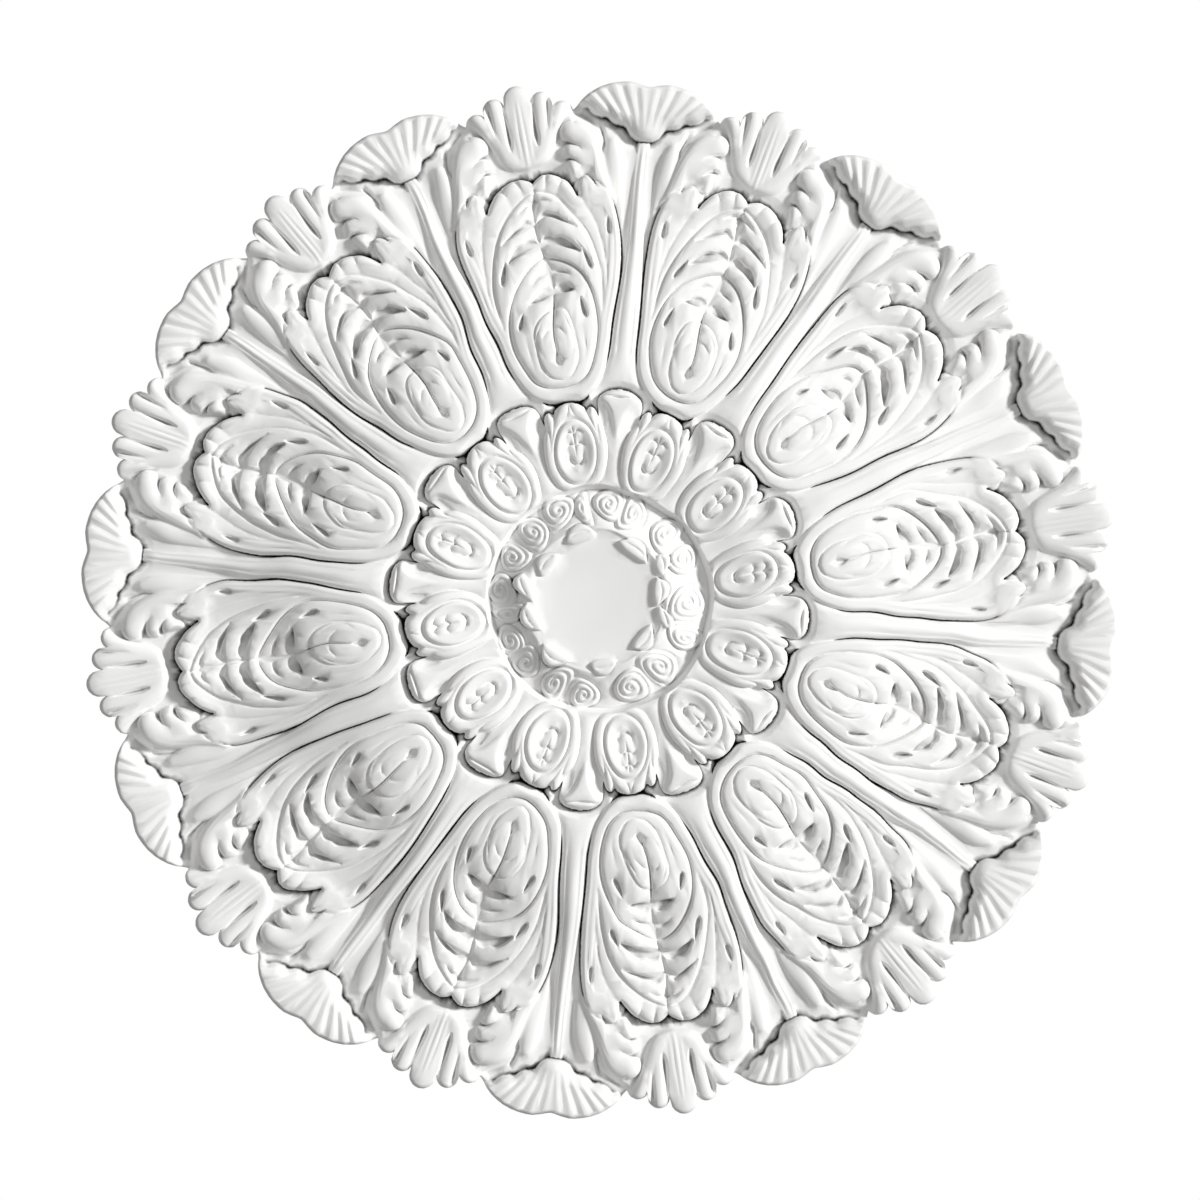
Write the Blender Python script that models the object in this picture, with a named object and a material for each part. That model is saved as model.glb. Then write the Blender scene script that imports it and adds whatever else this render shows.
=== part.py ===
"""Round plaster ceiling rose, cast in one piece.

Origin at the middle of the flat back, which lies in the plane z = 0 and meets the ceiling. The carved face
looks down, toward -Z. The ornament repeats every thirty degrees and each repeat is mirrored about the petal's
own axis, so half a repeat is carved as a fine relief, thinned to few faces, then mirrored and spun.
"""
import math

import bmesh
import bpy
import numpy as np

MM = 0.001

# Main sizes, in millimetres
REPEATS = 12
AXIS_OFFSET = 20.5          # degrees from +Y to the first petal's axis, toward -X
BACK_EDGE = 7.0             # least thickness of the casting at its rim
RING_RADIUS = 86.5          # where the inner ring meets the medallions
RING_JOIN = 1.5             # width of the strip that joins the inner ring to the carved sectors
GRID_STEP = 1.25            # spacing of the carving grid
SECTOR_FACES = 290          # faces kept in half a repeat
CENTRE_FACES = 1250         # faces kept in the middle
WELD = 0.02
STEEPEST = 0.08             # least downward lean of a face of the relief
EASINGS = 40
LEVEL = 1e-5                # radians within which a point lies on a border line
SNAP = 0.6                  # border points this close to a border line are put on it

# Ground that the ornament stands on: distance from the axis, height above the back
GROUND = ((0, 53.0), (24, 52.5), (40, 50.5), (46, 49.0), (60, 46.0), (72, 43.5), (86.5, 41.0), (100, 41.5),
          (138, 42.0), (152, 39.5), (170, 38.0), (189, 36.0), (208, 33.0), (231, 27.0), (262, 19.5), (293, 13.5),
          (324, 10.0), (345, 8.5), (420, 8.0))

# Stem between two petals: distance, half-width, crest height
STEM = ((150, 24.0, 41.0), (160, 20.0, 42.5), (170, 13.5, 43.0), (189, 10.0, 42.6), (205, 9.2, 40.5),
        (231, 8.6, 34.9), (262, 7.2, 25.8), (293, 5.6, 17.6), (324, 4.8, 12.6), (345, 4.4, 9.2), (352, 4.0, 8.0))

# Half outlines in a petal's own frame, as (sideways, outward), and plate heights over the ground
PETAL = ((0, 150), (13, 152.5), (23, 159), (32, 170), (40, 189), (46, 208), (53.5, 235), (60, 262), (62.5, 285),
         (59, 303), (55, 311), (49.5, 306), (45, 317), (40, 319.5), (36, 309), (30, 318), (19, 319.5), (12, 322),
         (0, 325))
PETAL_RISE = 6.6
PETAL_ROUND = 3.6
PETAL_DISH = 1.5            # how far the band inside the rolled border is sunk
BORDER = 8.0                # width of the rolled border
EGG = ((0, 160), (16, 164.5), (25.5, 178), (31, 195), (32.5, 211), (30, 228), (22, 243), (11, 257), (0, 265))
EGG_SWELL = 2.6
ARCH = ((0, 230), (20, 236), (37, 243), (41, 252), (37.5, 275), (29.5, 292), (16, 308), (0, 315))
ARCH_SWELL = 2.2
BUD = ((16, 178), (19, 192), (17, 207), (9, 219), (0, 223))
BLADE = ((50, 236), (46, 256), (43, 276), (40, 300), (36, 310))
GAPS = (((0, 239), (6, 237), (14, 233)), ((0, 278), (11, 275), (22, 267)), ((3, 295), (14, 293), (28, 284)))
CREASE = (3.0, 2.6)         # width to each side and depth of the grooves that part the lobes
GAP = (4.2, 4.5)
EYES = ((0, 186, 4.8, 9.5, 6.0), (26, 217, 3.6, 9.0, 5.0), (34.5, 254, 3.6, 9.5, 5.0), (53, 278, 3.6, 9, 4.0))

SIDE_LEAF = ((34, 300), (61, 292), (63, 312), (61, 332), (55, 348), (46, 360), (38, 366), (31, 361), (27, 351),
             (25, 338), (23, 322))
SIDE_LOBE = ((62, 318), (72, 318), (75, 332), (73, 343), (68, 347), (63, 342))
PALMETTE = ((0, 324), (12, 326), (19, 345), (29, 364), (43, 372), (54, 378), (50, 402), (0, 420))
SHELL = ((0, 355), (10, 358), (14.5, 367), (22, 364), (31, 369), (38, 367), (46, 377), (58, 392), (62, 430), (0, 430))
LEAF_RISES = ((SIDE_LEAF, 6.0, 4.0), (SIDE_LOBE, 4.5, 4.0), (PALMETTE, 5.0, 4.0))
SHELL_RISE = 9.0
SHELL_ROUND = 7.0
SHELL_GROOVE = (4.0, 3.0)
SHELL_GROOVES = (((14.5, 364), (13.5, 403)), ((31, 367), (29, 400)))
PALMETTE_GROOVE = (3.0, 2.2)
PALMETTE_GROOVES = (((0, 331), (0, 392)), ((10, 348), (16, 394)), ((21, 362), (33, 387)))

# Rim: its least radius, lobes as (degrees from the petal axis, how far beyond that the middle lies, radius),
# then the shell's arc as (start beyond the least radius, rise, half spread in degrees, fullness)
RIM_LEAST = 379.0
RIM_LOBES = ((0.0, 12.2, 10.0), (2.75, 6.8, 8.6), (5.05, -1.7, 8.6))
RIM_SKIP = 4                # grid steps to each straight piece of the outline
SHELL_ARC = (-1.0, 22.5, 8.6, 3.2)
SHELL_NOTCH = (3.6, 1.3)
RIM_ROUND = 5.0

# Medallion ring
CARTOUCHE = ((0, 88), (15, 89), (19.5, 99), (23, 108), (26, 116), (26.5, 124), (29, 130), (25, 139), (20, 141),
             (14.5, 138), (10, 144), (0, 147.5))
CARTOUCHE_RISE = 5.4
CARTOUCHE_ROUND = 3.5
MEDALLION_EGG = (112.0, 10.8, 21.0)
MEDALLION_GROOVE = (2.6, 3.0)
HOOD = (146.0, 18.0, 14.0)
HOOD_RISE = 9.0
HOOD_ROUND = 4.0

# Inner ring: eight tabs and eight small scrolls, in degrees clockwise seen from below
TABS = (346, 34, 80, 130, 175, 219, 263, 309)
TAB_SIZE = (50.5, 9.5, 7.0, 3.4)
SCROLLS = (337, 7, 64, 93, 159, 187.5, 245, 277)
SCROLL_SIZE = (71.5, 9.5, 9.5, 4.6)
SCROLL_EYE = (3.2, 3.2)
CURLS = (26, 45, 133, 212, 226, 299, 318)
CURL_SIZE = (73.0, 5.0, 9.5, 4.0)

PLASTER = (0.80, 0.79, 0.775, 1.0)
PLASTER_ROUGHNESS = 0.9


def path(points, closed=False, steps=6):
    """Smooth curve through the control points."""
    p = np.array(points, float)
    n = len(p)
    idx = range(n if closed else n - 1)
    out = []
    for i in idx:
        a, b = p[i], p[(i + 1) % n]
        before = p[(i - 1) % n] if closed or i > 0 else 2 * a - b
        after = p[(i + 2) % n] if closed or i < n - 2 else 2 * b - a
        for t in np.arange(steps) / steps:
            out.append(0.5 * (2 * a + (b - before) * t + (2 * before - 5 * a + 4 * b - after) * t ** 2
                              + (3 * a - before - 3 * b + after) * t ** 3))
    if not closed:
        out.append(p[-1])
    return np.array(out)


def mirrored(half):
    """Whole closed outline from its right half, which runs along +y from the axis to the axis."""
    curve = path(half)
    return np.vstack([curve, (curve * (-1, 1))[-2:0:-1]])


def reach(x, y, line, closed=False):
    """Distance from every grid point to a line of points."""
    best = np.full(x.shape, np.inf)
    ends = np.roll(line, -1, axis=0) if closed else line[1:]
    for a, b in zip(line, ends):
        d = b - a
        t = np.clip(((x - a[0]) * d[0] + (y - a[1]) * d[1]) / max(d @ d, 1e-9), 0, 1)
        best = np.minimum(best, np.hypot(x - a[0] - t * d[0], y - a[1] - t * d[1]))
    return best


def depth_in(x, y, loop):
    """Distance inside a closed outline, negative outside it."""
    inside = np.zeros(x.shape, bool)
    for a, b in zip(loop, np.roll(loop, -1, axis=0)):
        if a[1] != b[1]:
            crosses = (a[1] > y) != (b[1] > y)
            inside ^= crosses & (x < a[0] + (y - a[1]) * (b[0] - a[0]) / (b[1] - a[1]))
    return np.where(inside, 1, -1) * reach(x, y, loop, closed=True)


def rounded(depth, width):
    """Rounded edge: 0 at the outline, 1 from one width inside it."""
    t = np.clip(depth / width, 0, 1)
    return 1 - (1 - t) ** 2


def dip(distance, width, depth):
    """Groove with a rounded lip, taken off the surface."""
    return -depth * np.clip(1 - distance / width, 0, 1) ** 1.5


def ground(r):
    return np.interp(r, *np.array(GROUND, float).T)


def rim_radius(angle):
    """Distance from the rose's axis to its outline, at an angle in radians from a petal's axis."""
    radius = np.full(angle.shape, RIM_LEAST)
    for degrees, beyond, size in RIM_LOBES:
        turn, middle = angle - math.radians(degrees), RIM_LEAST + beyond
        inside = size ** 2 - (middle * np.sin(turn)) ** 2
        lobe = middle * np.cos(turn) + np.sqrt(np.maximum(inside, 0))
        radius = np.where(inside > 0, np.maximum(radius, lobe), radius)
    start, rise, spread, power = SHELL_ARC
    turn = np.degrees(math.pi / REPEATS - angle)
    across = np.clip(turn / spread, 0, 1)
    deep, wide = SHELL_NOTCH
    shell = RIM_LEAST + start + rise * (1 - across ** power) - deep * np.exp(-(turn / wide) ** 2)
    return np.maximum(radius, shell)


def carve_sector(angle, radius):
    """Height above the back over half a repeat."""
    x, y = radius * np.sin(angle), radius * np.cos(angle)
    side = math.pi / REPEATS
    xs, ys = radius * np.sin(side - angle), radius * np.cos(side - angle)
    z = ground(radius)
    base = z.copy()

    shell = depth_in(xs, ys, mirrored(SHELL))
    raised = base + SHELL_RISE * rounded(shell, SHELL_ROUND)
    for line in SHELL_GROOVES:
        raised += dip(reach(xs, ys, path(line)), *SHELL_GROOVE)
    z = np.where(shell > 0, np.maximum(z, raised), z)
    for outline, rise, width in LEAF_RISES:
        leaf = depth_in(x, y, mirrored(outline) if outline[0][0] == 0 else path(outline, closed=True))
        raised = base + rise * rounded(leaf, width)
        if outline is PALMETTE:
            for line in PALMETTE_GROOVES:
                raised += dip(reach(x, y, path(line)), *PALMETTE_GROOVE)
        z = np.where(leaf > 0, np.maximum(z, raised), z)

    petal = depth_in(x, y, mirrored(PETAL))
    raised = base + PETAL_RISE * rounded(petal, PETAL_ROUND)
    raised += dip(np.abs(petal - BORDER), BORDER / 2, PETAL_DISH)
    for outline, swell in ((ARCH, ARCH_SWELL), (EGG, EGG_SWELL)):
        body = depth_in(x, y, mirrored(outline))
        raised += np.where(body > 0, swell * (rounded(body, BORDER) - 0.5), 0) + dip(np.abs(body), *CREASE)
    for line in (BUD, BLADE):
        raised += dip(reach(x, y, path(line)), *CREASE)
    for line in GAPS:
        raised += dip(reach(x, y, path(line)), *GAP)
    for cx, cy, wide, tall, deep in EYES:
        raised += dip(np.hypot((x - cx) / wide, (y - cy) / tall) * wide, wide, deep)
    z = np.where(petal > 0, np.maximum(z, raised), z)

    at, half, crest = np.array(STEM, float).T
    across = np.abs(xs) / np.interp(ys, at, half)
    stem = np.interp(ys, at, crest) - (np.interp(ys, at, crest) - base) * np.clip(across, 0, 1) ** 2
    z = np.where((across < 1) & (ys < at[-1]) & (ys > at[0]), np.maximum(z, stem), z)

    frame = depth_in(x, y, mirrored(CARTOUCHE))
    raised = base + CARTOUCHE_RISE * rounded(frame, CARTOUCHE_ROUND)
    middle, wide, tall = MEDALLION_EGG
    ring = np.abs(np.hypot(x / wide, (y - middle) / tall) - 1) * wide
    raised += dip(ring, *MEDALLION_GROOVE)
    z = np.where(frame > 0, np.maximum(z, raised), z)
    middle, wide, tall = HOOD
    hood = (1 - np.hypot(xs / wide, (ys - middle) / tall)) * tall
    z = np.where(hood > 0, np.maximum(z, base + HOOD_RISE * rounded(hood, HOOD_ROUND)), z)

    edge = rim_radius(angle) - radius
    return BACK_EDGE + (z - BACK_EDGE) * (0.35 + 0.65 * rounded(edge, RIM_ROUND))


def carve_centre(angle, radius):
    """Height above the back inside the medallion ring."""
    z = ground(radius)
    base = z.copy()
    for turns, (middle, wide, tall, rise) in ((TABS, TAB_SIZE), (SCROLLS, SCROLL_SIZE), (CURLS, CURL_SIZE)):
        for turn in turns:
            swing = angle - math.radians(turn)
            x, y = radius * np.sin(swing), radius * np.cos(swing) - middle
            d = np.hypot(x / wide, y / tall)
            raised = base + rise * rounded(1 - d, 0.5)
            if turns is SCROLLS:
                raised += dip(np.hypot(x, y), *SCROLL_EYE)
            z = np.where(d < 1, np.maximum(z, raised), z)
    return z


def grid_mesh(x, y, z, skip=1):
    """Relief as a grid of quads, heights pointing down from the back; the last row keeps one point in skip."""
    rows, columns = x.shape
    points = np.stack([-x, y, -z], axis=-1) * MM
    bm = bmesh.new()
    verts = [[bm.verts.new(p) for p in row] for row in points[:-1]]
    last = {j: bm.verts.new(points[-1][j]) for j in range(0, columns, skip)}
    for low, high in zip(verts, verts[1:]):
        for j in range(columns - 1):
            bm.faces.new((low[j], low[j + 1], high[j + 1], high[j]))
    for j in range(0, columns - 1, skip):
        bm.faces.new(verts[-1][j:j + skip + 1] + [last[j + skip], last[j]])
    return bm, last.values()


def thinned(bm, faces, kept=()):
    """The relief with its flatter faces merged until the number asked for is left."""
    mesh = bpy.data.meshes.new("fine")
    bmesh.ops.triangulate(bm, faces=bm.faces)
    bm.verts.index_update()
    count = len(bm.faces)
    held = {v.index for v in kept}
    free = [v.index for v in bm.verts if v.index not in held]
    bm.to_mesh(mesh)
    bm.free()
    guide = bpy.data.objects.new("fine", mesh)
    bpy.context.scene.collection.objects.link(guide)
    guide.vertex_groups.new(name="free").add(free, 1.0, "REPLACE")
    thin = guide.modifiers.new("thin", "DECIMATE")
    thin.ratio = faces / count
    thin.vertex_group = "free"
    bpy.context.view_layer.update()
    result = bpy.data.meshes.new_from_object(guide.evaluated_get(bpy.context.evaluated_depsgraph_get()))
    bpy.data.objects.remove(guide)
    out = bmesh.new()
    out.from_mesh(result)
    bpy.data.meshes.remove(result)
    bpy.data.meshes.remove(mesh)
    return out


def unfold(bm):
    """Ease inner points toward their neighbours wherever a face of the relief looks back up."""
    for _ in range(EASINGS):
        bm.normal_update()
        outward = -1 if sum(f.normal.z for f in bm.faces) < 0 else 1
        folded = {v for f in bm.faces if f.normal.z * outward < STEEPEST for v in f.verts if not v.is_boundary}
        if not folded:
            return
        for v in sorted(folded, key=lambda v: (v.co.x, v.co.y)):
            ends = [e.other_vert(v).co for e in v.link_edges]
            v.co = (v.co + sum(ends[1:], ends[0].copy()) / len(ends)) / 2


def sector():
    """Half a repeat, from the petal's axis to the stem's, thinned, with its borders true."""
    side = math.pi / REPEATS
    skip = round(RIM_SKIP)
    columns = skip * round(side * RIM_LEAST / GRID_STEP / skip)
    across = np.linspace(0, side, columns + 1)
    rows = int((RIM_LEAST - RING_RADIUS) / GRID_STEP)
    angle, t = np.meshgrid(across, np.linspace(0, 1, rows + 1))
    radius = RING_RADIUS + (rim_radius(angle) - RING_RADIUS) * t
    z = carve_sector(angle, radius)
    bm, rim = grid_mesh(radius * np.sin(angle), radius * np.cos(angle), z, skip)
    bm = thinned(bm, SECTOR_FACES, rim)
    for v in bm.verts:
        if not v.is_boundary:
            continue
        turn, far = math.atan2(-v.co.x, v.co.y), v.co.xy.length / MM
        for line in (0, side):
            if abs(turn - line) * far < SNAP:
                turn = line
        if far < RING_RADIUS + SNAP:
            far = RING_RADIUS
        v.co.x, v.co.y = -far * math.sin(turn) * MM, far * math.cos(turn) * MM
    bmesh.ops.remove_doubles(bm, verts=bm.verts, dist=WELD * MM)
    ears = [f for f in bm.faces for line in (0, side)
            if all(abs(math.atan2(-v.co.x, v.co.y) - line) < LEVEL for v in f.verts)]
    bmesh.ops.delete(bm, geom=ears, context="FACES")
    unfold(bm)
    return bm


def rose():
    half = sector()
    mesh = bpy.data.meshes.new("half")
    half.to_mesh(mesh)
    half.free()
    bm = bmesh.new()
    for k in range(REPEATS):
        for hand in (1, -1):
            new = bmesh.new()
            new.from_mesh(mesh)
            turn = math.radians(AXIS_OFFSET) + 2 * math.pi * k / REPEATS
            for v in new.verts:
                x, y = hand * v.co.x, v.co.y
                v.co.x = x * math.cos(turn) - y * math.sin(turn)
                v.co.y = x * math.sin(turn) + y * math.cos(turn)
            if hand < 0:
                bmesh.ops.reverse_faces(new, faces=new.faces)
            piece = bpy.data.meshes.new("copy")
            new.to_mesh(piece)
            new.free()
            bm.from_mesh(piece)
            bpy.data.meshes.remove(piece)
    bpy.data.meshes.remove(mesh)
    bmesh.ops.remove_doubles(bm, verts=bm.verts, dist=WELD * MM)

    inner = RING_RADIUS - RING_JOIN
    around = np.linspace(0, 2 * math.pi, 361)[:-1]
    out = np.linspace(0.02, 1, int(inner / GRID_STEP))
    angle, radius = np.meshgrid(np.append(around, 2 * math.pi), inner * out)
    middle, _ = grid_mesh(radius * np.sin(angle), radius * np.cos(angle), carve_centre(angle, radius))
    bmesh.ops.remove_doubles(middle, verts=middle.verts, dist=WELD * MM / 10)
    hole = [e for e in middle.edges if e.is_boundary and e.verts[0].co.xy.length < inner * MM / 2]
    bmesh.ops.contextual_create(middle, geom=hole)
    middle = thinned(middle, CENTRE_FACES)
    piece = bpy.data.meshes.new("middle")
    middle.to_mesh(piece)
    middle.free()
    bm.from_mesh(piece)
    bpy.data.meshes.remove(piece)

    limit = (RING_RADIUS + RING_JOIN) * MM
    seam = [e for e in bm.edges if e.is_boundary and e.verts[0].co.xy.length < limit]
    bmesh.ops.bridge_loops(bm, edges=seam)
    rim = [e for e in bm.edges if e.is_boundary]
    wall = bmesh.ops.extrude_edge_only(bm, edges=rim)["geom"]
    low = [g for g in wall if isinstance(g, bmesh.types.BMVert)]
    for v in low:
        v.co.z = 0
    bmesh.ops.contextual_create(bm, geom=[e for e in bm.edges if e.is_boundary])
    bmesh.ops.triangulate(bm, faces=[f for f in bm.faces if len(f.verts) > 3])
    bmesh.ops.recalc_face_normals(bm, faces=bm.faces)
    return bm


for old in list(bpy.data.objects):
    bpy.data.objects.remove(old)

plaster = bpy.data.materials.new("cast plaster")
plaster.use_nodes = True
surface = plaster.node_tree.nodes["Principled BSDF"]
surface.inputs["Base Color"].default_value = PLASTER
surface.inputs["Roughness"].default_value = PLASTER_ROUGHNESS

solid = rose()
shape = bpy.data.meshes.new("ceiling_rose")
solid.to_mesh(shape)
solid.free()
shape.materials.append(plaster)
shape.shade_smooth()
shape.set_sharp_from_angle(angle=math.radians(40))
bpy.context.scene.collection.objects.link(bpy.data.objects.new("ceiling_rose", shape))
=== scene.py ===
"""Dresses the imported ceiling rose: one white plaster casting with the whole of its carving."""
import math

import bmesh
import bpy
import numpy as np
from mathutils import Matrix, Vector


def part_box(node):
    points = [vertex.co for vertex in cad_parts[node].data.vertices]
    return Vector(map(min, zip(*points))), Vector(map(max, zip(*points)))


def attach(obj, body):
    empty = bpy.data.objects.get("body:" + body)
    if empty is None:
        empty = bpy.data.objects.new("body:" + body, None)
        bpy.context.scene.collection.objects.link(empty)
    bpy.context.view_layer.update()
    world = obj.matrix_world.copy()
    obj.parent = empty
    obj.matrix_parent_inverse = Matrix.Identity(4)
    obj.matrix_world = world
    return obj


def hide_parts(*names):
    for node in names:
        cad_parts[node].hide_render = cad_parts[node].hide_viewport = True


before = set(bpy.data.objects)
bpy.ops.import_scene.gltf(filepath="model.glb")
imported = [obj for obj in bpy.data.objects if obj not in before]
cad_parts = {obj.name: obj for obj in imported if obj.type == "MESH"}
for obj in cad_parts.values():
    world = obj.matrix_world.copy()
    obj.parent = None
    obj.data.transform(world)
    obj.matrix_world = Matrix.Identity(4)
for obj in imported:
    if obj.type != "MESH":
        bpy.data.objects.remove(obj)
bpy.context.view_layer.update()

# The casting's plan. The rose is one gypsum plaster casting of twelve equal repeats, each with a petal and,
# half a repeat on, a stem that ends in a shell at the rim. Sizes are in the photograph's pixels, of which the
# rose is 1034.3 across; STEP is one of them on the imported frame. Heights are over the flat back.
PHOTO_SPAN = 1034.3
rose_low, rose_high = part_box("ceiling_rose")
STEP = (rose_high[0] - rose_low[0]) / PHOTO_SPAN
REPEATS = 12
HALF = math.pi / REPEATS
PETAL_TURN = math.radians(20.5)
RING_RADIUS = 112
RIM_LEAST = 490.8
RIM_LOBES = ((0, 506.5, 13), (24, 499.0, 11.1), (43, 486.7, 11.1))
GROUND = ((0, 68.6), (31, 68), (52, 65.4), (60, 63.5), (78, 59.6), (93, 56.3), (112, 52), (130, 52),
          (179, 51), (197, 50.2), (220, 48.2), (245, 45.6), (269, 41.7), (299, 34), (339, 24.5), (379, 17),
          (420, 12.5), (447, 10.5), (544, 10))
SHELL_REACH = 29.04
SHELL_BASE = 489.5
SHELL_HALF = 74
SHELL_FULLNESS = 3.2
SHELL_NOTCH = (4.7, 11.8)


def rim_radius(angle):
    """Distance from the middle to the outline, at an angle from a petal's axis."""
    radius = np.full(np.shape(angle), RIM_LEAST)
    for sideways, middle, size in RIM_LOBES:
        turn = angle - math.atan2(sideways, middle)
        far = math.hypot(sideways, middle)
        room = size ** 2 - (far * np.sin(turn)) ** 2
        edge = far * np.cos(turn) + np.sqrt(np.maximum(room, 0))
        radius = np.where(room > 0, np.maximum(radius, edge), radius)
    across = (HALF - angle) * RIM_LEAST
    deep, wide = SHELL_NOTCH
    fan = 1 - np.clip(across / SHELL_HALF, 0, 1) ** SHELL_FULLNESS
    return np.maximum(radius, SHELL_BASE + SHELL_REACH * fan - deep * np.exp(-(across / wide) ** 2))


# Shells at the rim, one over each stem's end. A plump plaster fan hangs over a dark hollow, where the real
# one is undercut; its foot and its edge are scalloped, and flutes run along it.
SHELL = ((0, 459), (8, 460), (15, 465), (20, 472), (25, 473.5), (32, 475), (39, 480), (45, 480), (53, 482.5),
         (59, 487.5), (66, 489), (73, 495), (78, 502), (82, 540), (0, 550))
SHELL_RISE = (13, 12)
SHELL_HEART = 392
SHELL_FLUTES = ((0, 4.5, 1.2), (0.11, 5, 2.2), (0.23, 5.6, 2.9), (0.36, 5.4, 2.6), (0.48, 4.8, 2.8),
                (0.59, 4, 2))
SHELL_FLUTES_FADE = 5
SHELL_BEND = (0.62, 462, 515)
SHELL_HOLLOW = (15, 6)
LEAST_WIDTH = 0.05
CUT_WALL = 1.3
CREASE_WALL = 1.2
RIDGE_REACH = 2.5
RIDGE_FADE = 1.5


def curve(points, steps=6):
    """Smooth line through control points, which may carry widths and heights."""
    p = np.array(points, float)
    p = np.vstack([2 * p[0] - p[1], p, 2 * p[-1] - p[-2]])
    out = []
    for before, a, b, after in zip(p, p[1:], p[2:], p[3:]):
        for t in np.arange(steps) / steps:
            out.append(0.5 * (2 * a + (b - before) * t + (2 * before - 5 * a + 4 * b - after) * t ** 2
                              + (3 * a - before - 3 * b + after) * t ** 3))
    return np.array(out + [p[-2]])


def follow(x, y, line):
    """Distance to a line, and what the line carries at its nearest point."""
    best = np.full(x.shape, np.inf)
    carried = np.zeros((line.shape[1] - 2,) + x.shape)
    for a, b in zip(line, line[1:]):
        d = b[:2] - a[:2]
        t = np.clip(((x - a[0]) * d[0] + (y - a[1]) * d[1]) / max(d @ d, 1e-9), 0, 1)
        gap = np.hypot(x - a[0] - t * d[0], y - a[1] - t * d[1])
        nearer = gap < best
        best = np.where(nearer, gap, best)
        for k, (here, there) in enumerate(zip(a[2:], b[2:])):
            carried[k] = np.where(nearer, here + t * (there - here), carried[k])
    return best, carried


def near(x, y, line, reach=1.0):
    """Points close enough to a line to be inside its width, or that many times it."""
    margin = line[:, 2].max() * reach
    low, high = line[:, :2].min(axis=0) - margin, line[:, :2].max(axis=0) + margin
    return (x > low[0]) & (x < high[0]) & (y > low[1]) & (y < high[1])


def cut(z, x, y, points, walls=1):
    """Groove along (x, y, half width, depth) points; its walls are steeper the higher their number."""
    line = curve(points)
    m = near(x, y, line)
    gap, (wide, deep) = follow(x[m], y[m], line)
    z[m] -= deep * np.clip(1 - (gap / np.maximum(wide, LEAST_WIDTH)) ** walls, 0, 1) ** CUT_WALL


def ridge(z, x, y, points):
    """Soft swelling along (x, y, half width, height) points."""
    line = curve(points)
    m = near(x, y, line, RIDGE_REACH)
    gap, (wide, high) = follow(x[m], y[m], line)
    z[m] += high * np.exp(-RIDGE_FADE * (gap / np.maximum(wide, LEAST_WIDTH)) ** 2)


def lay(z, top, where):
    """Lays one surface over another; where both are, the higher one shows."""
    np.copyto(z, np.where(where, np.maximum(z, top), z))


def both_sides(half):
    """Closed outline from its right half, which runs from the axis to the axis."""
    right = curve(half)
    return np.vstack([right, (right * (-1, 1))[-2:0:-1]])


def depth_in(x, y, loop):
    """Distance inside a closed outline, negative outside it."""
    inside = np.zeros(x.shape, bool)
    ends = np.roll(loop, -1, axis=0)
    for a, b in zip(loop, ends):
        if a[1] != b[1]:
            crosses = (a[1] > y) != (b[1] > y)
            inside ^= crosses & (x < a[0] + (y - a[1]) * (b[0] - a[0]) / (b[1] - a[1]))
    gap, _ = follow(x, y, np.vstack([loop, loop[:1]]))
    return np.where(inside, gap, -gap)


def rounded(depth, width):
    """0 at an edge, 1 from one width inside it, with a quarter-round between."""
    t = np.clip(depth / width, 0, 1)
    return np.sqrt(1 - (1 - t) ** 2)


def eased(value, low, high):
    """0 up to the first limit, 1 from the second, with a soft step between."""
    t = np.clip((value - low) / (high - low), 0, 1)
    return t * t * (3 - 2 * t)


def crease(depth, width, deep):
    """How deep a groove that follows an outline is."""
    return deep * np.clip(1 - np.abs(depth) / width, 0, 1) ** CREASE_WALL


def carve_shell(z, base, across, out):
    shell = depth_in(across, out, both_sides(SHELL))
    high, wide = SHELL_RISE
    top = base + high * rounded(shell, wide)
    turn, far = np.arctan2(across, out - SHELL_HEART), np.hypot(across, out - SHELL_HEART)
    close, start, end = SHELL_BEND
    for at, groove_wide, deep in SHELL_FLUTES:
        bent = at * (close + (1 - close) * eased(out, start, end))
        top -= crease((turn - bent) * far, groove_wide, deep) * eased(shell, 0, SHELL_FLUTES_FADE)
    z -= np.where(shell < 0, crease(shell, *SHELL_HOLLOW), 0)
    lay(z, top, shell > 0)


# Palmettes at the rim, one in line with each petal: a flat leaf of five lobes, with a doubled midrib and
# drilled slots between the lobes. Its root lies deep in the shadow of the petal's crown.
PALMETTE = ((0, 434), (14, 436), (25, 444), (32, 458), (40, 474), (49, 486), (56, 496), (60, 540), (0, 545))
PALMETTE_RISE = (6.5, 9)
PALMETTE_RIDGES = (((0, 440, 7, 0.5), (0, 465, 9, 1.5), (0, 500, 12, 2.4), (0, 522, 12, 1.2)),
                   ((12, 444, 5, 0.5), (18, 468, 7, 1.5), (23, 496, 9, 2.2), (25, 512, 8, 1.2)),
                   ((21, 450, 5, 0.5), (31, 470, 7, 1.4), (41, 490, 9, 2), (45, 500, 8, 1.2)))
PALMETTE_CUTS = (((2.6, 436, 1.2, 1.2), (2.8, 470, 1.5, 1.9), (2.4, 500, 1, 0.8), (2, 512, 0.8, 0.2)),
                 ((13, 456, 2.2, 3), (13.5, 466, 4, 8.5), (14, 480, 2.8, 6), (15, 494, 1.8, 3),
                  (15, 506, 2, 3.4), (15, 520, 3.4, 6.5)),
                 ((26, 470, 1.4, 1), (28, 484, 2.4, 4), (30, 498, 3.8, 7.5), (33, 508, 3.4, 7)),
                 ((7, 440, 1.1, 0.6), (8.5, 468, 1.2, 1), (9, 495, 1, 0.5)),
                 ((22, 447, 1.1, 0.6), (31, 471, 1.3, 1), (39, 490, 1.1, 0.4)))


def detail(top, x, y, ridges, cuts):
    """Carves a surface's swellings, then the cuts in them."""
    for points in ridges:
        ridge(top, x, y, points)
    for points in cuts:
        cut(top, x, y, points)


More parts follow.
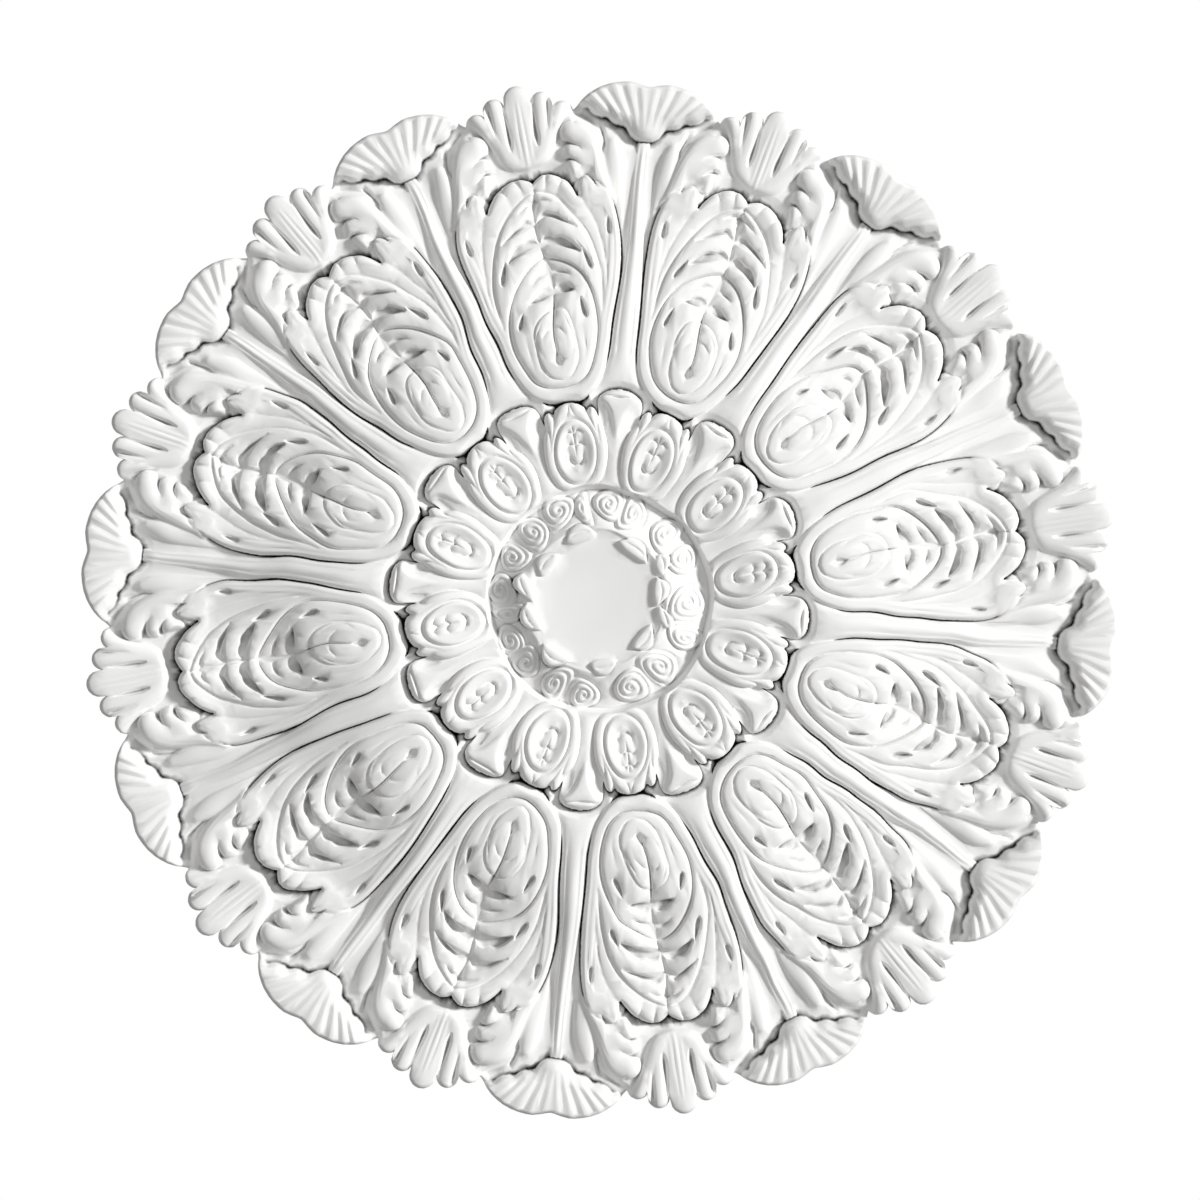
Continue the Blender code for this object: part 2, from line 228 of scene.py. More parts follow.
def carve_palmette(z, base, x, y):
    leaf = depth_in(x, y, both_sides(PALMETTE))
    high, wide = PALMETTE_RISE
    top = base + high * rounded(leaf, wide)
    detail(top, x, y, PALMETTE_RIDGES, PALMETTE_CUTS)
    lay(z, top, leaf > 0)


# Side leaves behind each petal's crown. A pair curls in over the palmette's root, each in three lobes that
# overlap like feathers, and a small lobe lies against the stem.
SMALL_LOBE = ((70, 345, 8, 1), (79, 392, 11, 4), (85, 422, 11, 6.5), (87, 438, 9.5, 6.5), (88, 446, 6.5, 5))
SIDE_LEAF = ((58, 380), (80, 384), (80.5, 400), (79, 420), (77.5, 440), (74, 455), (68, 466), (58, 473),
             (47, 475), (39, 471), (36, 463), (38, 455), (36, 446), (35, 438), (38, 431), (40, 420),
             (43, 405), (50, 390))
SIDE_LEAF_RISE = (9, 8)
SIDE_LEAF_RIDGES = (((74, 395, 7, 0.6), (70, 430, 9, 1.4), (63, 453, 10, 2), (49, 463, 8, 2)),
                    ((66, 405, 7, 0.6), (56, 436, 7, 1.4), (44, 444, 5, 2)),
                    ((58, 395, 7, 0.6), (52, 415, 7, 1.4), (42, 427, 5, 2)))
SIDE_LEAF_CUTS = (((32, 452, 6, 13), (40, 453.5, 4.6, 12), (46, 452, 3, 7), (52, 448.5, 1.5, 2.4),
                   (57, 443, 0.9, 0.5)),
                  ((32, 435, 4.5, 13), (40, 436.5, 3.6, 11), (46, 434.5, 2.4, 6), (51, 430, 1.3, 2),
                   (55, 425, 0.8, 0.4)),
                  ((42, 410, 4, 8), (47, 413, 3, 5), (51, 414, 1.2, 1)),
                  ((66, 413, 1.4, 1), (70, 408, 2.2, 3), (74, 403, 1.4, 1.6)),
                  ((76, 390, 1, 0.3), (74, 420, 1.2, 1), (69, 447, 1.1, 0.8), (60, 461, 0.9, 0.3)))
LEAF_VOID = ((56, 483, 4, 4), (64, 479, 7, 6.5), (72, 470, 6, 5), (79, 459, 3, 2))
LEAF_NOTCH = ((79, 466, 4, 5), (80, 456, 3, 6), (80.5, 447, 1.8, 3.5), (80.5, 436, 1.2, 1.4),
              (80, 415, 0.9, 0.5))


def lobe(z, base, x, y, points):
    """Rounded finger along (x, y, half width, height) points; where fingers meet, the higher one shows."""
    line = curve(points)
    m = near(x, y, line)
    gap, (wide, high) = follow(x[m], y[m], line)
    q = np.clip(gap / np.maximum(wide, LEAST_WIDTH), 0, 1)
    top = base[m] + high * (1 - q ** 2.0) ** 0.5
    z[m] = np.where(q < 1, np.maximum(z[m], top), z[m])


def carve_side_leaf(z, base, x, y):
    cut(z, x, y, LEAF_VOID)
    lobe(z, base, x, y, SMALL_LOBE)
    leaf = depth_in(x, y, curve(SIDE_LEAF + SIDE_LEAF[:1]))
    high, wide = SIDE_LEAF_RISE
    top = base + high * rounded(leaf, wide)
    detail(top, x, y, SIDE_LEAF_RIDGES, SIDE_LEAF_CUTS)
    lay(z, top, leaf > 0)
    cut(z, x, y, LEAF_NOTCH)


# Petals. Each is a broad leaf with a rolled border and a crown of full lobes. Inside it a cup swells out of
# a sharp groove, and smooth scales overlap along its midrib, open in deep gaps that the carver drilled, as
# are the eyes at the roots of the lobes.
PETAL = ((0, 194), (14, 196.5), (29, 205), (42, 221), (51.5, 245), (58.5, 270), (69.5, 305), (76.5, 335),
         (80, 360), (80, 378), (77.5, 390), (73.5, 398), (70, 399.5), (67.5, 402), (65, 409), (60, 416.5),
         (55, 416.5), (50.5, 410), (47.5, 400), (46, 397.5), (43.5, 403), (38, 412), (30, 419.5), (21, 425),
         (12, 426.5), (5, 424), (0, 420))
PETAL_RISE = 8.5
PETAL_EDGE = (4.5, 6)
CROWN_RISE = 3
CROWN_FROM = (385, 412)
BORDER = (9, 17)
BORDER_DROP = 1.4
TROUGH = (285, 310, 385, 415)
TROUGH_HALF = 44
TROUGH_DEPTH = 6
PETAL_LINES = (6.5, 12.5)
PETAL_LINE = (1.3, 0.8)
PETAL_LINED = (225, 300, 375, 395)
PETAL_LINES_CLEAR = (1, 4)
CUP = ((0, 210), (14, 212.5), (27, 222), (36, 239), (42.5, 260), (44, 280), (41.5, 299), (35, 315), (23, 330),
       (10, 340), (0, 344))
CUP_RISE = (3.6, 13)
CUP_GROWS = (325, 285)
CUP_LEAST = 0.3
ARCH = ((0, 240), (30, 250), (46, 262), (51, 290), (53.5, 318), (51, 340), (45, 362), (36, 381), (25, 396),
        (12, 406.5), (0, 411))
ARCH_RISE = (3.2, 16)
ARCH_GROWS = (262, 310)
CUP_GROOVE = (2.2, 4.2)
ARCH_GROOVE = (2, 2.2)
BUD = ((0, 217), (9, 221), (17, 233), (20.5, 250), (20.5, 268), (16, 281), (9, 288), (0, 291))
BUD_RISE = (2, 9)
BUD_GROOVE = (1.6, 1.4)
SCALES = ((302.5, 299, 26, 2.6, 16), (324.5, 316, 28, 1.4, 18), (351.5, 341, 36, 3, 20),
          (376, 365, 40, 2.2, 18), (398, 391, 26, 1.4, 12))
SCALE_BEND = 1.8
SCALE_SIDES = 2.5
GAPS = (((0, 306, 1.6, 6), (6, 309, 4.6, 14), (12, 307, 5.2, 15), (17, 304.5, 3.2, 10), (22, 303, 1.6, 4)),
        ((0, 328, 1.8, 4), (8, 327, 2.4, 5), (15, 323.5, 1.8, 3.5), (20, 319, 0.9, 1)),
        ((0, 355, 2, 6), (8, 359.5, 4.8, 15), (15, 357, 4.2, 14), (21, 355, 5.2, 15), (28, 349, 4.2, 11),
         (34, 343, 2, 5)),
        ((2, 377, 1.6, 3), (9, 383, 3.6, 7), (15, 381, 2.8, 6.5), (22, 377.5, 3, 7), (29, 372, 2.2, 5),
         (38, 365, 1, 2)),
        ((0, 401, 2.2, 3), (8, 400.5, 2.6, 3.5), (17, 394, 1.4, 1.4)))
LIP = 1.6
GAP_WALLS = 3
MIDRIB = ((0, 244, 1.6, 2), (0, 262, 1.9, 4), (0, 288, 2.2, 5), (0, 300, 1.6, 3.5), (0, 316, 2, 4.5),
          (0, 332, 4.6, 9), (0, 341, 2.2, 5), (0, 350, 1.5, 3), (0, 368, 2.6, 5), (0, 388, 2.2, 4.5),
          (0, 397, 6, 11), (0, 405, 3, 5), (0, 413, 1.2, 1))
MIDRIB_VALLEY = (8, 2.6)
MIDRIB_SHOWS = (240, 275, 395, 420)
EYES = (((0, 237), (4.4, 7.5), 7, 0), ((32.5, 281), (3, 10), 9, 0.22), ((42, 330), (3.4, 12), 9, 0.3),
        ((69.5, 363), (3, 9.5), 8, -0.1))
EYE_TAPER = 3
EYE_LEAST = 0.3
EYE_TOP = 1.3
EYE_FOOT = 0.7
EYE_WALLS = 3
EYE_FLOOR = 0.8
PETAL_CUTS = (((57, 300, 1.4, 0.4), (60.5, 325, 1.7, 1.4), (59.5, 350, 1.8, 1.6), (55, 375, 1.7, 1.4),
               (50, 392, 1.6, 1.4), (47, 402, 2, 2)),
              ((24, 232, 1.1, 0.2), (28, 248, 1.3, 1), (29, 262, 1.2, 0.6), (29, 268, 1, 0.3)),
              ((12, 240, 1.1, 0.2), (19, 252, 1.5, 1.6), (18, 266, 1.4, 1.4), (12, 280, 1.2, 0.8)),
              ((2, 270, 1.2, 1), (7, 268.5, 1.6, 2.2), (13, 261, 1.2, 0.8)),
              ((34, 291, 1.3, 1), (37, 302, 1.2, 0.8), (33, 316, 1, 0.3)),
              ((46, 345, 1.4, 1), (43, 362, 1.4, 1), (36, 378, 1.2, 0.5)),
              ((22, 396, 1, 0.3), (27, 410, 1.6, 1.8), (30, 417, 2.8, 5), (31, 423, 3.6, 8)),
              ((10, 404, 1, 0.3), (13, 415, 1.6, 1.8), (15, 422, 2.6, 4.5), (16, 429, 3.4, 8)),
              ((56, 398, 1, 0.3), (57, 406, 1.4, 1.4), (58, 414, 2, 3.5)),
              ((0, 413, 1.2, 0.4), (0, 426, 2, 2.4)))
CREVICE = (6, 2.2, 8)
CREVICE_NARROWS = (215, 310)
CREVICE_ENDS = (400, 385)
CROWN_SHADOW = (13, 7)
CROWN_HALF = 66


def drill(z, x, y, place, size, deep, lean):
    """Teardrop hole, round at its foot and drawn out at its top."""
    wide, tall = size
    c, s = math.cos(lean), math.sin(lean)
    u, v = (x - place[0]) * c + (y - place[1]) * s, (y - place[1]) * c - (x - place[0]) * s
    narrowing = np.clip(1 - v / (tall * EYE_TAPER), EYE_LEAST, 1)
    q = np.hypot(u / (wide * narrowing), np.where(v > 0, v / (tall * EYE_TOP), v / (tall * EYE_FOOT)))
    z -= deep * np.clip(1 - q ** EYE_WALLS, 0, 1) ** EYE_FLOOR


def carve_petal(z, base, x, y):
    petal = depth_in(x, y, both_sides(PETAL))
    edge = PETAL_EDGE[0] + (PETAL_EDGE[1] - PETAL_EDGE[0]) * eased(y, *CROWN_FROM)
    top = base + PETAL_RISE * rounded(petal, edge) - BORDER_DROP * eased(petal, *BORDER)
    top += CROWN_RISE * eased(y, *CROWN_FROM) * rounded(petal, edge)
    start, full, end, gone = TROUGH
    top -= TROUGH_DEPTH * eased(y, start, full) * eased(y, gone, end) * (1 - eased(x, 0, TROUGH_HALF))

    cup = depth_in(x, y, both_sides(CUP))
    arch = depth_in(x, y, both_sides(ARCH))
    start, full, end, gone = PETAL_LINED
    lined = (eased(y, start, full) * eased(y, gone, end)
             * eased(-cup, *PETAL_LINES_CLEAR) * eased(-arch, *PETAL_LINES_CLEAR))
    for line in PETAL_LINES:
        top -= lined * crease(petal - line, *PETAL_LINE)
    high, wide = CUP_RISE
    grown = CUP_LEAST + (1 - CUP_LEAST) * eased(y, *CUP_GROWS)
    top += high * rounded(cup, wide) * grown - crease(cup, *CUP_GROOVE)
    high, wide = ARCH_RISE
    grown = eased(y, *ARCH_GROWS)
    top += grown * (np.where(cup < 0, high * rounded(arch, wide), 0) - crease(arch, *ARCH_GROOVE))
    bud = depth_in(x, y, both_sides(BUD))
    high, wide = BUD_RISE
    top += high * rounded(bud, wide) - crease(bud, *BUD_GROOVE)

    for tip, shoulder, half, high, length in SCALES:
        behind = tip - (tip - shoulder) * (x / half) ** SCALE_BEND - y
        slope = np.exp(-np.maximum(behind, 0) / length) * np.clip(1 + behind / LIP, 0, 1)
        top += high * slope * eased(half - x, 0, half / SCALE_SIDES)
    wide, deep = MIDRIB_VALLEY
    start, full, end, gone = MIDRIB_SHOWS
    top -= deep * np.exp(-(x / wide) ** 2) * eased(y, start, full) * eased(y, gone, end)
    for points in GAPS:
        cut(top, x, y, points, GAP_WALLS)
    cut(top, x, y, MIDRIB)
    for points in PETAL_CUTS:
        cut(top, x, y, points)
    for eye in EYES:
        drill(top, x, y, *eye)
    lay(z, top, petal > 0)
    foot, far, deep = CREVICE
    wide = foot + (far - foot) * eased(y, *CREVICE_NARROWS)
    z -= np.where(petal < 0, crease(petal, wide, deep), 0) * eased(y, *CREVICE_ENDS)
    wide, deep = CROWN_SHADOW
    z -= np.where(petal < 0, crease(petal, wide, deep), 0) * eased(y, *CREVICE_ENDS[::-1]) * (x < CROWN_HALF)


# Stems between the petals: a rounded stalk that narrows outward from the medallions to the shell's hollow,
# with a raised keel and a fine flute on each side.
STEM = ((150, 40, 54), (200, 30, 54.6), (212, 22, 55), (225, 17, 55), (245, 13, 54.4), (270, 12, 50.4),
        (305, 11, 43.4), (345, 9.2, 32), (390, 7.2, 21), (420, 6.5, 16), (440, 6, 12.6), (458, 5.5, 10.4))
STEM_SQUARENESS = 2.6
STEM_KEEL = (3.2, 0.9)
STEM_FLUTE = (1.9, 1.1)
STEM_FLUTED_FROM = (222, 250)


def carve_stem(z, base, across, out):
    at, half, crest = curve(STEM).T
    wide = np.interp(out, at, half)
    q = np.clip(across / wide, 0, 1)
    top = base + (np.interp(out, at, crest) - base) * (1 - q ** STEM_SQUARENESS) ** (1 / STEM_SQUARENESS)
    keel_wide, keel_high = STEM_KEEL
    keel = keel_high * np.clip(1 - across / keel_wide, 0, 1)
    flute_wide, flute_deep = STEM_FLUTE
    flute = flute_deep * np.clip(1 - np.abs(across - wide / 2) / flute_wide, 0, 1)
    top += eased(out, *STEM_FLUTED_FROM) * (keel - flute)
    lay(z, top, (q < 1) & (out > at[0]) & (out < at[-1]))


# Medallion ring round the middle, raised above the petals' feet with a scalloped edge. In line with each
# petal a leaf curls round an oval cup, and in line with each stem a smooth saddle flares into a hood: a leaf
# tip that folds over the edge, with a deep pocket on each side of it.
RING_OUTLINE = ((0, 100), (60, 100), (76, 190), (62, 198), (53.3, 199.5), (45, 201), (37, 200),
                (31.5, 196.5), (29, 190.5), (28.3, 184), (27, 178), (26, 183), (23.5, 187.5), (20, 188.5),
                (17, 186), (14, 190), (8, 193.5), (0, 194.5))
RING_RISE = (6, 5)
RING_INNER = (108, 160)
MEDALLION = ((0, 106), (11, 108), (21.5, 115.5), (28.5, 129), (32, 144), (32.5, 157), (30.5, 166),
             (27, 172.5), (29, 177), (28.5, 184), (24, 189.5), (19.5, 189), (17, 184.5), (14.5, 190),
             (8, 196), (0, 197))
MEDALLION_RISE = (5.5, 6)
MEDALLION_LEAST = 0.5
MEDALLION_GROOVE = (1.9, 2.4)
OVAL = (146, 18, 27.5)
OVAL_LIP = (3.2, 1.6)
OVAL_GROOVE = (1.9, 3.6)
OVAL_DISH = (2.4, 1, 0.7)
MEDALLION_RIDGES = (((0, 122, 4, 0.3), (0, 134, 6, 2.2), (0, 148, 6, 2), (0, 168, 5, 0.8)),
                    ((17, 178, 4, 0.5), (10, 184, 5, 1.2), (0, 186, 6, 1.4)))
MEDALLION_CUTS = (((0, 133, 2.6, 3.5), (3, 133.5, 2.8, 5), (6.5, 137, 1.8, 3), (6.5, 142, 1.2, 1)),
                  ((0, 150, 1.5, 2.4), (4.5, 153.5, 1.9, 4), (9.5, 150, 1.2, 1)),
                  ((0, 162, 1.5, 2.4), (4.5, 166, 1.9, 4), (9, 162.5, 1.2, 1)),
                  ((0, 142, 1.2, 1), (0, 152, 1.5, 2.4), (0, 170, 1.5, 2.4)),
                  ((17, 190, 2.4, 3.5), (17, 182, 2, 3), (19, 174, 1.3, 1.4), (23.5, 160, 1, 0.4)),
                  ((0, 196, 2.2, 2.4), (1.5, 188, 1.6, 1.6), (5, 180, 1, 0.4)),
                  ((30, 176, 2.6, 4), (25, 172, 2, 2.6), (24.5, 164, 1.3, 1.2), (25, 152, 1, 0.4)))
HOOD = ((0, 118), (2.5, 122), (4, 140), (5, 158), (7, 172), (9.5, 181), (14, 188), (20, 193), (24.5, 198),
        (22, 203), (12, 207.5), (0, 209))
HOOD_RISE = (11, 7)
HOOD_GROWS = (135, 192)
HOOD_FOLD = ((0, 198.5, 2, 5), (7, 198.9, 1.8, 4.4), (14, 199.6, 1.4, 2.6), (20, 199.2, 0.8, 0.4))
HOOD_POCKET = ((12, 170, 3, 3), (16.5, 180, 6.5, 16), (20, 186, 5, 14), (26, 190, 2.4, 6))
SHADOW_GAP = (9, 9)


def carve_medallion(z, base, x, y, across, out):
    ring = depth_in(x, y, both_sides(RING_OUTLINE))
    high, edge = RING_RISE
    grown = eased(np.hypot(x, y), *RING_INNER)
    top = base + high * rounded(ring, edge) * grown
    leaf = depth_in(x, y, both_sides(MEDALLION))
    high, edge = MEDALLION_RISE
    raised = base + RING_RISE[0] * rounded(ring, edge) * grown
    raised = raised + high * rounded(leaf, edge) * (MEDALLION_LEAST + (1 - MEDALLION_LEAST) * grown)
    top = np.where(leaf > 0, np.maximum(top, raised), top) - crease(leaf, *MEDALLION_GROOVE)
    middle, wide, tall = OVAL
    oval = (np.hypot(x / wide, (y - middle) / tall) - 1) * wide
    lip_wide, lip_high = OVAL_LIP
    top += lip_high * np.exp(-(oval / lip_wide) ** 2) - crease(oval - lip_wide, *OVAL_GROOVE)
    deep, start, end = OVAL_DISH
    top -= deep * eased(-oval, start, wide * end)
    detail(top, x, y, MEDALLION_RIDGES, MEDALLION_CUTS)
    hood = depth_in(across, out, both_sides(HOOD))
    high, edge = HOOD_RISE
    high = RING_RISE[0] * grown + (high - RING_RISE[0]) * eased(out, *HOOD_GROWS)
    folded = base + high * np.minimum(rounded(hood, edge), rounded(ring, edge))
    cut(folded, across, out, HOOD_FOLD)
    lay(top, folded, hood > 0)
    cut(top, across, out, HOOD_POCKET)
    wide, deep = SHADOW_GAP
    z -= np.where(ring < 0, crease(ring, wide, deep), 0)
    lay(z, top, ring > 0)


# Middle of the rose: a plain low boss for the lamp's hook, and round it a collar of leaves that slopes
# steeply down to the medallions. Leaf tips fold in over the boss, no two alike, and scrolls of many sizes
# fill the slope.
BOSS = ((0, 61), (44, 61), (56, 61.4), (66, 62.6), (78, 62.6), (112, 50))
COLLAR = ((0, 65.5), (66, 65.5), (72, 63), (80, 57.5), (90, 50.5), (99, 45), (106, 42.5), (112, 50.5))
COLLAR_EDGE = (68, 5, 262)
COLLAR_ROUND = 3
COLLAR_FOOT = (107.5, 2.2, 2)
TIPS = ((343, 67, 15, -0.03), (34, 61, 16, -0.06), (58, 70, 9, -0.4), (80, 59.5, 14.5, -0.14),
        (104, 67, 9.5, 0.7), (131, 60.5, 16, 0.1), (176, 66, 14, 0), (219, 72, 17, 0.1), (256, 73, 15, 0.33),
        (280, 77, 13, 0.5), (305, 64.5, 14.5, -0.08))
TIP = (8.5, 66.8, 3)
TIP_BEND = 3
TIP_SQUARENESS = 2.4
TIP_CAMBER = 0.8
TIP_FOLD = (1.2, 1.1, 2)
TIP_FOLD_ENDS = (0.8, 0.3)
TIP_SHADOW = (2.6, 3)
CURLS = ((336, 97, 1, 17, 17), (6, 94, -1, 17, 17), (22, 92, 1, 12, 21), (44, 92, -1, 15, 19),
         (63, 90, 1, 17, 17), (91, 87, -1, 18, 18), (113, 92, 1, 13, 20), (137, 88, -1, 17, 20),
         (160, 92, 1, 18, 17), (189, 95, -1, 17, 16), (208, 93, 1, 13, 19), (230, 94, -1, 15, 15),
         (247, 98, 1, 16, 14), (262, 92, -1, 9, 16), (277, 97, 1, 17, 14), (297, 94, -1, 14, 16),
         (317, 93, 1, 15, 18), (349, 90, -1, 7, 18))
CURLS_FADE = 8
CURL_BEND = 3
CURL_RISE = 6.5
CURL_PITCH = 0.36
CURL_GROOVE = (1.8, 3.8)
CURL_GROOVE_STARTS = (2, 4)
CURL_GROOVE_ENDS = (1.2, 0.2)
CURL_EYE = (2.8, 5)


def carve_middle(angle, radius):
    boss, collar = np.interp(radius, *np.array(BOSS).T), np.interp(radius, *np.array(COLLAR).T)
    nearest = np.full(radius.shape, np.inf)
    swollen = np.zeros(radius.shape)
    for turn, middle, hand, wide, tall in CURLS:
        swing = angle - math.radians(turn)
        x, y = radius * np.sin(swing) * hand, radius * np.cos(swing) - middle
        x = x + y * y / (tall * CURL_BEND)
        q = np.hypot(x / wide, y / tall)
        q = np.where(np.cos(swing) > 0, q, np.inf)
        far = q * wide
        top = CURL_RISE * np.sqrt(np.clip(1 - q * q, 0, 1))
        coil = (q / CURL_PITCH - np.arctan2(x, y) / (2 * math.pi)) % 1
        pitch = CURL_PITCH * wide
        last, fade = CURL_GROOVE_ENDS
        shown = crease((coil - 0.5) * pitch, *CURL_GROOVE) * eased(far, *CURL_GROOVE_STARTS)
        top -= shown * eased(last - q, 0, fade)
        top -= crease(far, *CURL_EYE)
        swollen = np.where(q < nearest, top, swollen)
        nearest = np.minimum(q, nearest)
    edge, shift, toward = COLLAR_EDGE
    rest = edge + shift * np.cos(angle - math.radians(toward))
    slope = collar + swollen * eased(radius - rest, 0, CURLS_FADE)
    z = boss + (slope - boss) * rounded(radius - rest, COLLAR_ROUND)
    wide, crest, tip_round = TIP
    fold, fold_wide, fold_deep = TIP_FOLD
    last, fade = TIP_FOLD_ENDS
    for turn, middle, half, lean in TIPS:
        swing = angle - math.radians(turn)
        along, off = radius * np.sin(swing), radius * np.cos(swing)
        s = np.clip(np.abs(along) / half, 0, 1)
        bow = off - middle - lean * along + along * along / (half * TIP_BEND)
        depth = wide * (1 - s ** TIP_SQUARENESS) - np.abs(bow)
        beside = (s < 1) & (np.cos(swing) > 0)
        top = boss + (crest - TIP_CAMBER * np.abs(bow) / wide - boss) * rounded(depth, tip_round)
        top -= crease(bow - fold, fold_wide, fold_deep) * eased(last - s, 0, fade)
        z -= np.where((bow > 0) & beside, crease(np.minimum(depth, 0), *TIP_SHADOW), 0)
        lay(z, top, (depth > 0) & beside)
    foot, foot_wide, foot_deep = COLLAR_FOOT
    return z - crease(radius - foot, foot_wide, foot_deep)


# The casting itself. Half a repeat is shaped from a fine grid, thinned where it is flat, mirrored and spun
# round the middle; a wall drawn from the rim ends in the flat back, which is glued to the ceiling.
GRID_STEP = 0.65
SOFTENED = 2
RIM_STRETCH = 0.86
RIM_GATHER = 1.5
RING_JOIN = 1.5
RIM_EDGE = 6.5
RIM_LEFT = 0.35
REPEAT_FACES = 7400
MIDDLE_FACES = 14000
WELD = 0.03
SNAP = 0.5
FLUSH = 1e-5
HOLLOW_REACH = 7
PAINTED_SHADE_INSIDE = (4, 14)
HAND_SEED = 5
HAND_WAVES = ((150, 1.2), (75, 0.8), (41, 0.5))
HAND_DEPTH = 0.5
HAND_REACH = (440, 480)
HAND_PETAL = 34
HAND_PETAL_STARTS = (215, 260)
HAND_PETAL_ENDS = (400, 440)
HAND_SWING = (2.6, 105)
HAND_TILT = (5, 80)
SHARP = math.radians(60)


def carve_repeat(angle, radius):
    """Height of the carving over half a repeat, from a petal's axis to the stem's."""
    x, y = radius * np.sin(angle), radius * np.cos(angle)
    across, out = radius * np.sin(HALF - angle), radius * np.cos(HALF - angle)
    base = np.interp(radius, *np.array(GROUND).T)
    z = base.copy()
    carve_shell(z, base, across, out)
    carve_palmette(z, base, x, y)
    carve_side_leaf(z, base, x, y)
    carve_petal(z, base, x, y)
    carve_stem(z, base, across, out)
    carve_medallion(z, base, x, y, across, out)
    return z * (RIM_LEFT + (1 - RIM_LEFT) * rounded(rim_radius(angle) - radius, RIM_EDGE))


def hollowness(z, reach):
    """How far each point of a grid of heights lies below the mean of those round it."""
    soft = z
    for axis in (0, 1):
        padded = np.pad(soft, [(reach, reach) if k == axis else (0, 0) for k in (0, 1)], mode="reflect")
        total = np.cumsum(padded, axis=axis)
        total = np.insert(total, 0, 0, axis=axis)
        width = 2 * reach + 1
        upper = np.take(total, range(width, total.shape[axis]), axis=axis)
        lower = np.take(total, range(total.shape[axis] - width), axis=axis)
        soft = (upper - lower) / width
    return soft - z


def by_hand(x, y):
    """How far the carver's hand strays from the drawing: each petal leans and wavers in its own way."""
    chance = np.random.default_rng(HAND_SEED)
    radius = np.hypot(x, y)
    held = 1 - eased(radius, *HAND_REACH)
    stray = np.zeros((len(x), 3))
    for length, size in HAND_WAVES:
        for axis in (0, 1, 2):
            heading, phase = chance.uniform(0, 2 * math.pi, 2)
            along = (x * math.cos(heading) + y * math.sin(heading)) * 2 * math.pi / length
            stray[:, axis] += size * np.sin(along + phase) * held * (HAND_DEPTH if axis == 2 else 1)
    turn = np.arctan2(x, y) - PETAL_TURN
    petal = np.round(turn / (2 * HALF)).astype(int) % REPEATS
    turn = (turn + HALF) % (2 * HALF) - HALF
    side, out = radius * np.sin(turn), radius * np.cos(turn)
    lean, swing, tilt, phase = chance.uniform(-1, 1, (4, REPEATS))
    inside = np.exp(-(side / HAND_PETAL) ** 2) * eased(out, *HAND_PETAL_STARTS)
    inside = inside * (1 - eased(out, *HAND_PETAL_ENDS))
    size, length = HAND_SWING
    sideways = inside * size * (swing[petal] + np.sin(out * 2 * math.pi / length + math.pi * phase[petal]))
    size, length = HAND_TILT
    bent = tilt[petal] + lean[petal] * np.sin(out * 2 * math.pi / length)
    outward = inside * side / HAND_PETAL * size * bent
    axis = np.arctan2(x, y) - turn
    stray[:, 0] -= sideways * np.cos(axis) + outward * np.sin(axis)
    stray[:, 1] += outward * np.cos(axis) - sideways * np.sin(axis)
    return stray


def shaped_grid(columns, rows, turn, radii, carve):
    """Carved relief over a turn, from the inner radius to the outer; each point keeps how hollow it lies,
    which sets its painted shade.
    """
    bm = bmesh.new()
    bmesh.ops.create_grid(bm, x_segments=columns, y_segments=rows, size=0.5)
    mesh = bpy.data.meshes.new("relief")
    bm.to_mesh(mesh)
    bm.free()
    co = np.empty(len(mesh.vertices) * 3, np.float32)
    mesh.vertices.foreach_get("co", co)
    s, t = (co.reshape(-1, 3)[:, :2].astype(float) + 0.5).T
    angle = s * turn
    inner, outer = radii
    reach = outer(angle) if callable(outer) else outer
    least = np.min(reach)
    outermost = np.clip((t - RIM_STRETCH) / (1 - RIM_STRETCH), 0, 1) ** RIM_GATHER
    radius = inner + (least - inner) * t + (reach - least) * outermost
    z = carve(angle, radius).reshape(rows + 1, columns + 1)
    for _ in range(SOFTENED):
        z[:, 1:-1] = (z[:, :-2] + 2 * z[:, 1:-1] + z[:, 2:]) / 4
    z[1:-1] = (z[:-2] + 2 * z[1:-1] + z[2:]) / 4
    z = z.ravel()
    hollow = hollowness(z.reshape(rows + 1, columns + 1), HOLLOW_REACH).ravel()
    shaped = np.stack([-radius * np.sin(angle), radius * np.cos(angle), -z], axis=-1) * STEP
    mesh.vertices.foreach_set("co", shaped.astype(np.float32).ravel())
    # Painted shade: each point keeps how hollow it lies, and the material paints the deep cuts darker from
    # it.
    painted_shade_attribute = mesh.attributes.new("hollow", "FLOAT", "POINT")
    painted_shade_attribute.data.foreach_set("value", hollow.astype(np.float32))
    bm = bmesh.new()
    bm.from_mesh(mesh)
    bpy.data.meshes.remove(mesh)
    return bm


def thinned(bm, faces):
    """The relief with its flatter faces merged until the number asked for is left."""
    mesh = bpy.data.meshes.new("relief")
    bmesh.ops.triangulate(bm, faces=bm.faces)
    count = len(bm.faces)
    bm.to_mesh(mesh)
    guide = bpy.data.objects.new("relief", mesh)
    bpy.context.scene.collection.objects.link(guide)
    guide.modifiers.new("thin", "DECIMATE").ratio = faces / count
    bpy.context.view_layer.update()
    result = bpy.data.meshes.new_from_object(guide.evaluated_get(bpy.context.evaluated_depsgraph_get()))
    bpy.data.objects.remove(guide)
    bm.clear()
    bm.from_mesh(result)
    bpy.data.meshes.remove(result)
    bpy.data.meshes.remove(mesh)


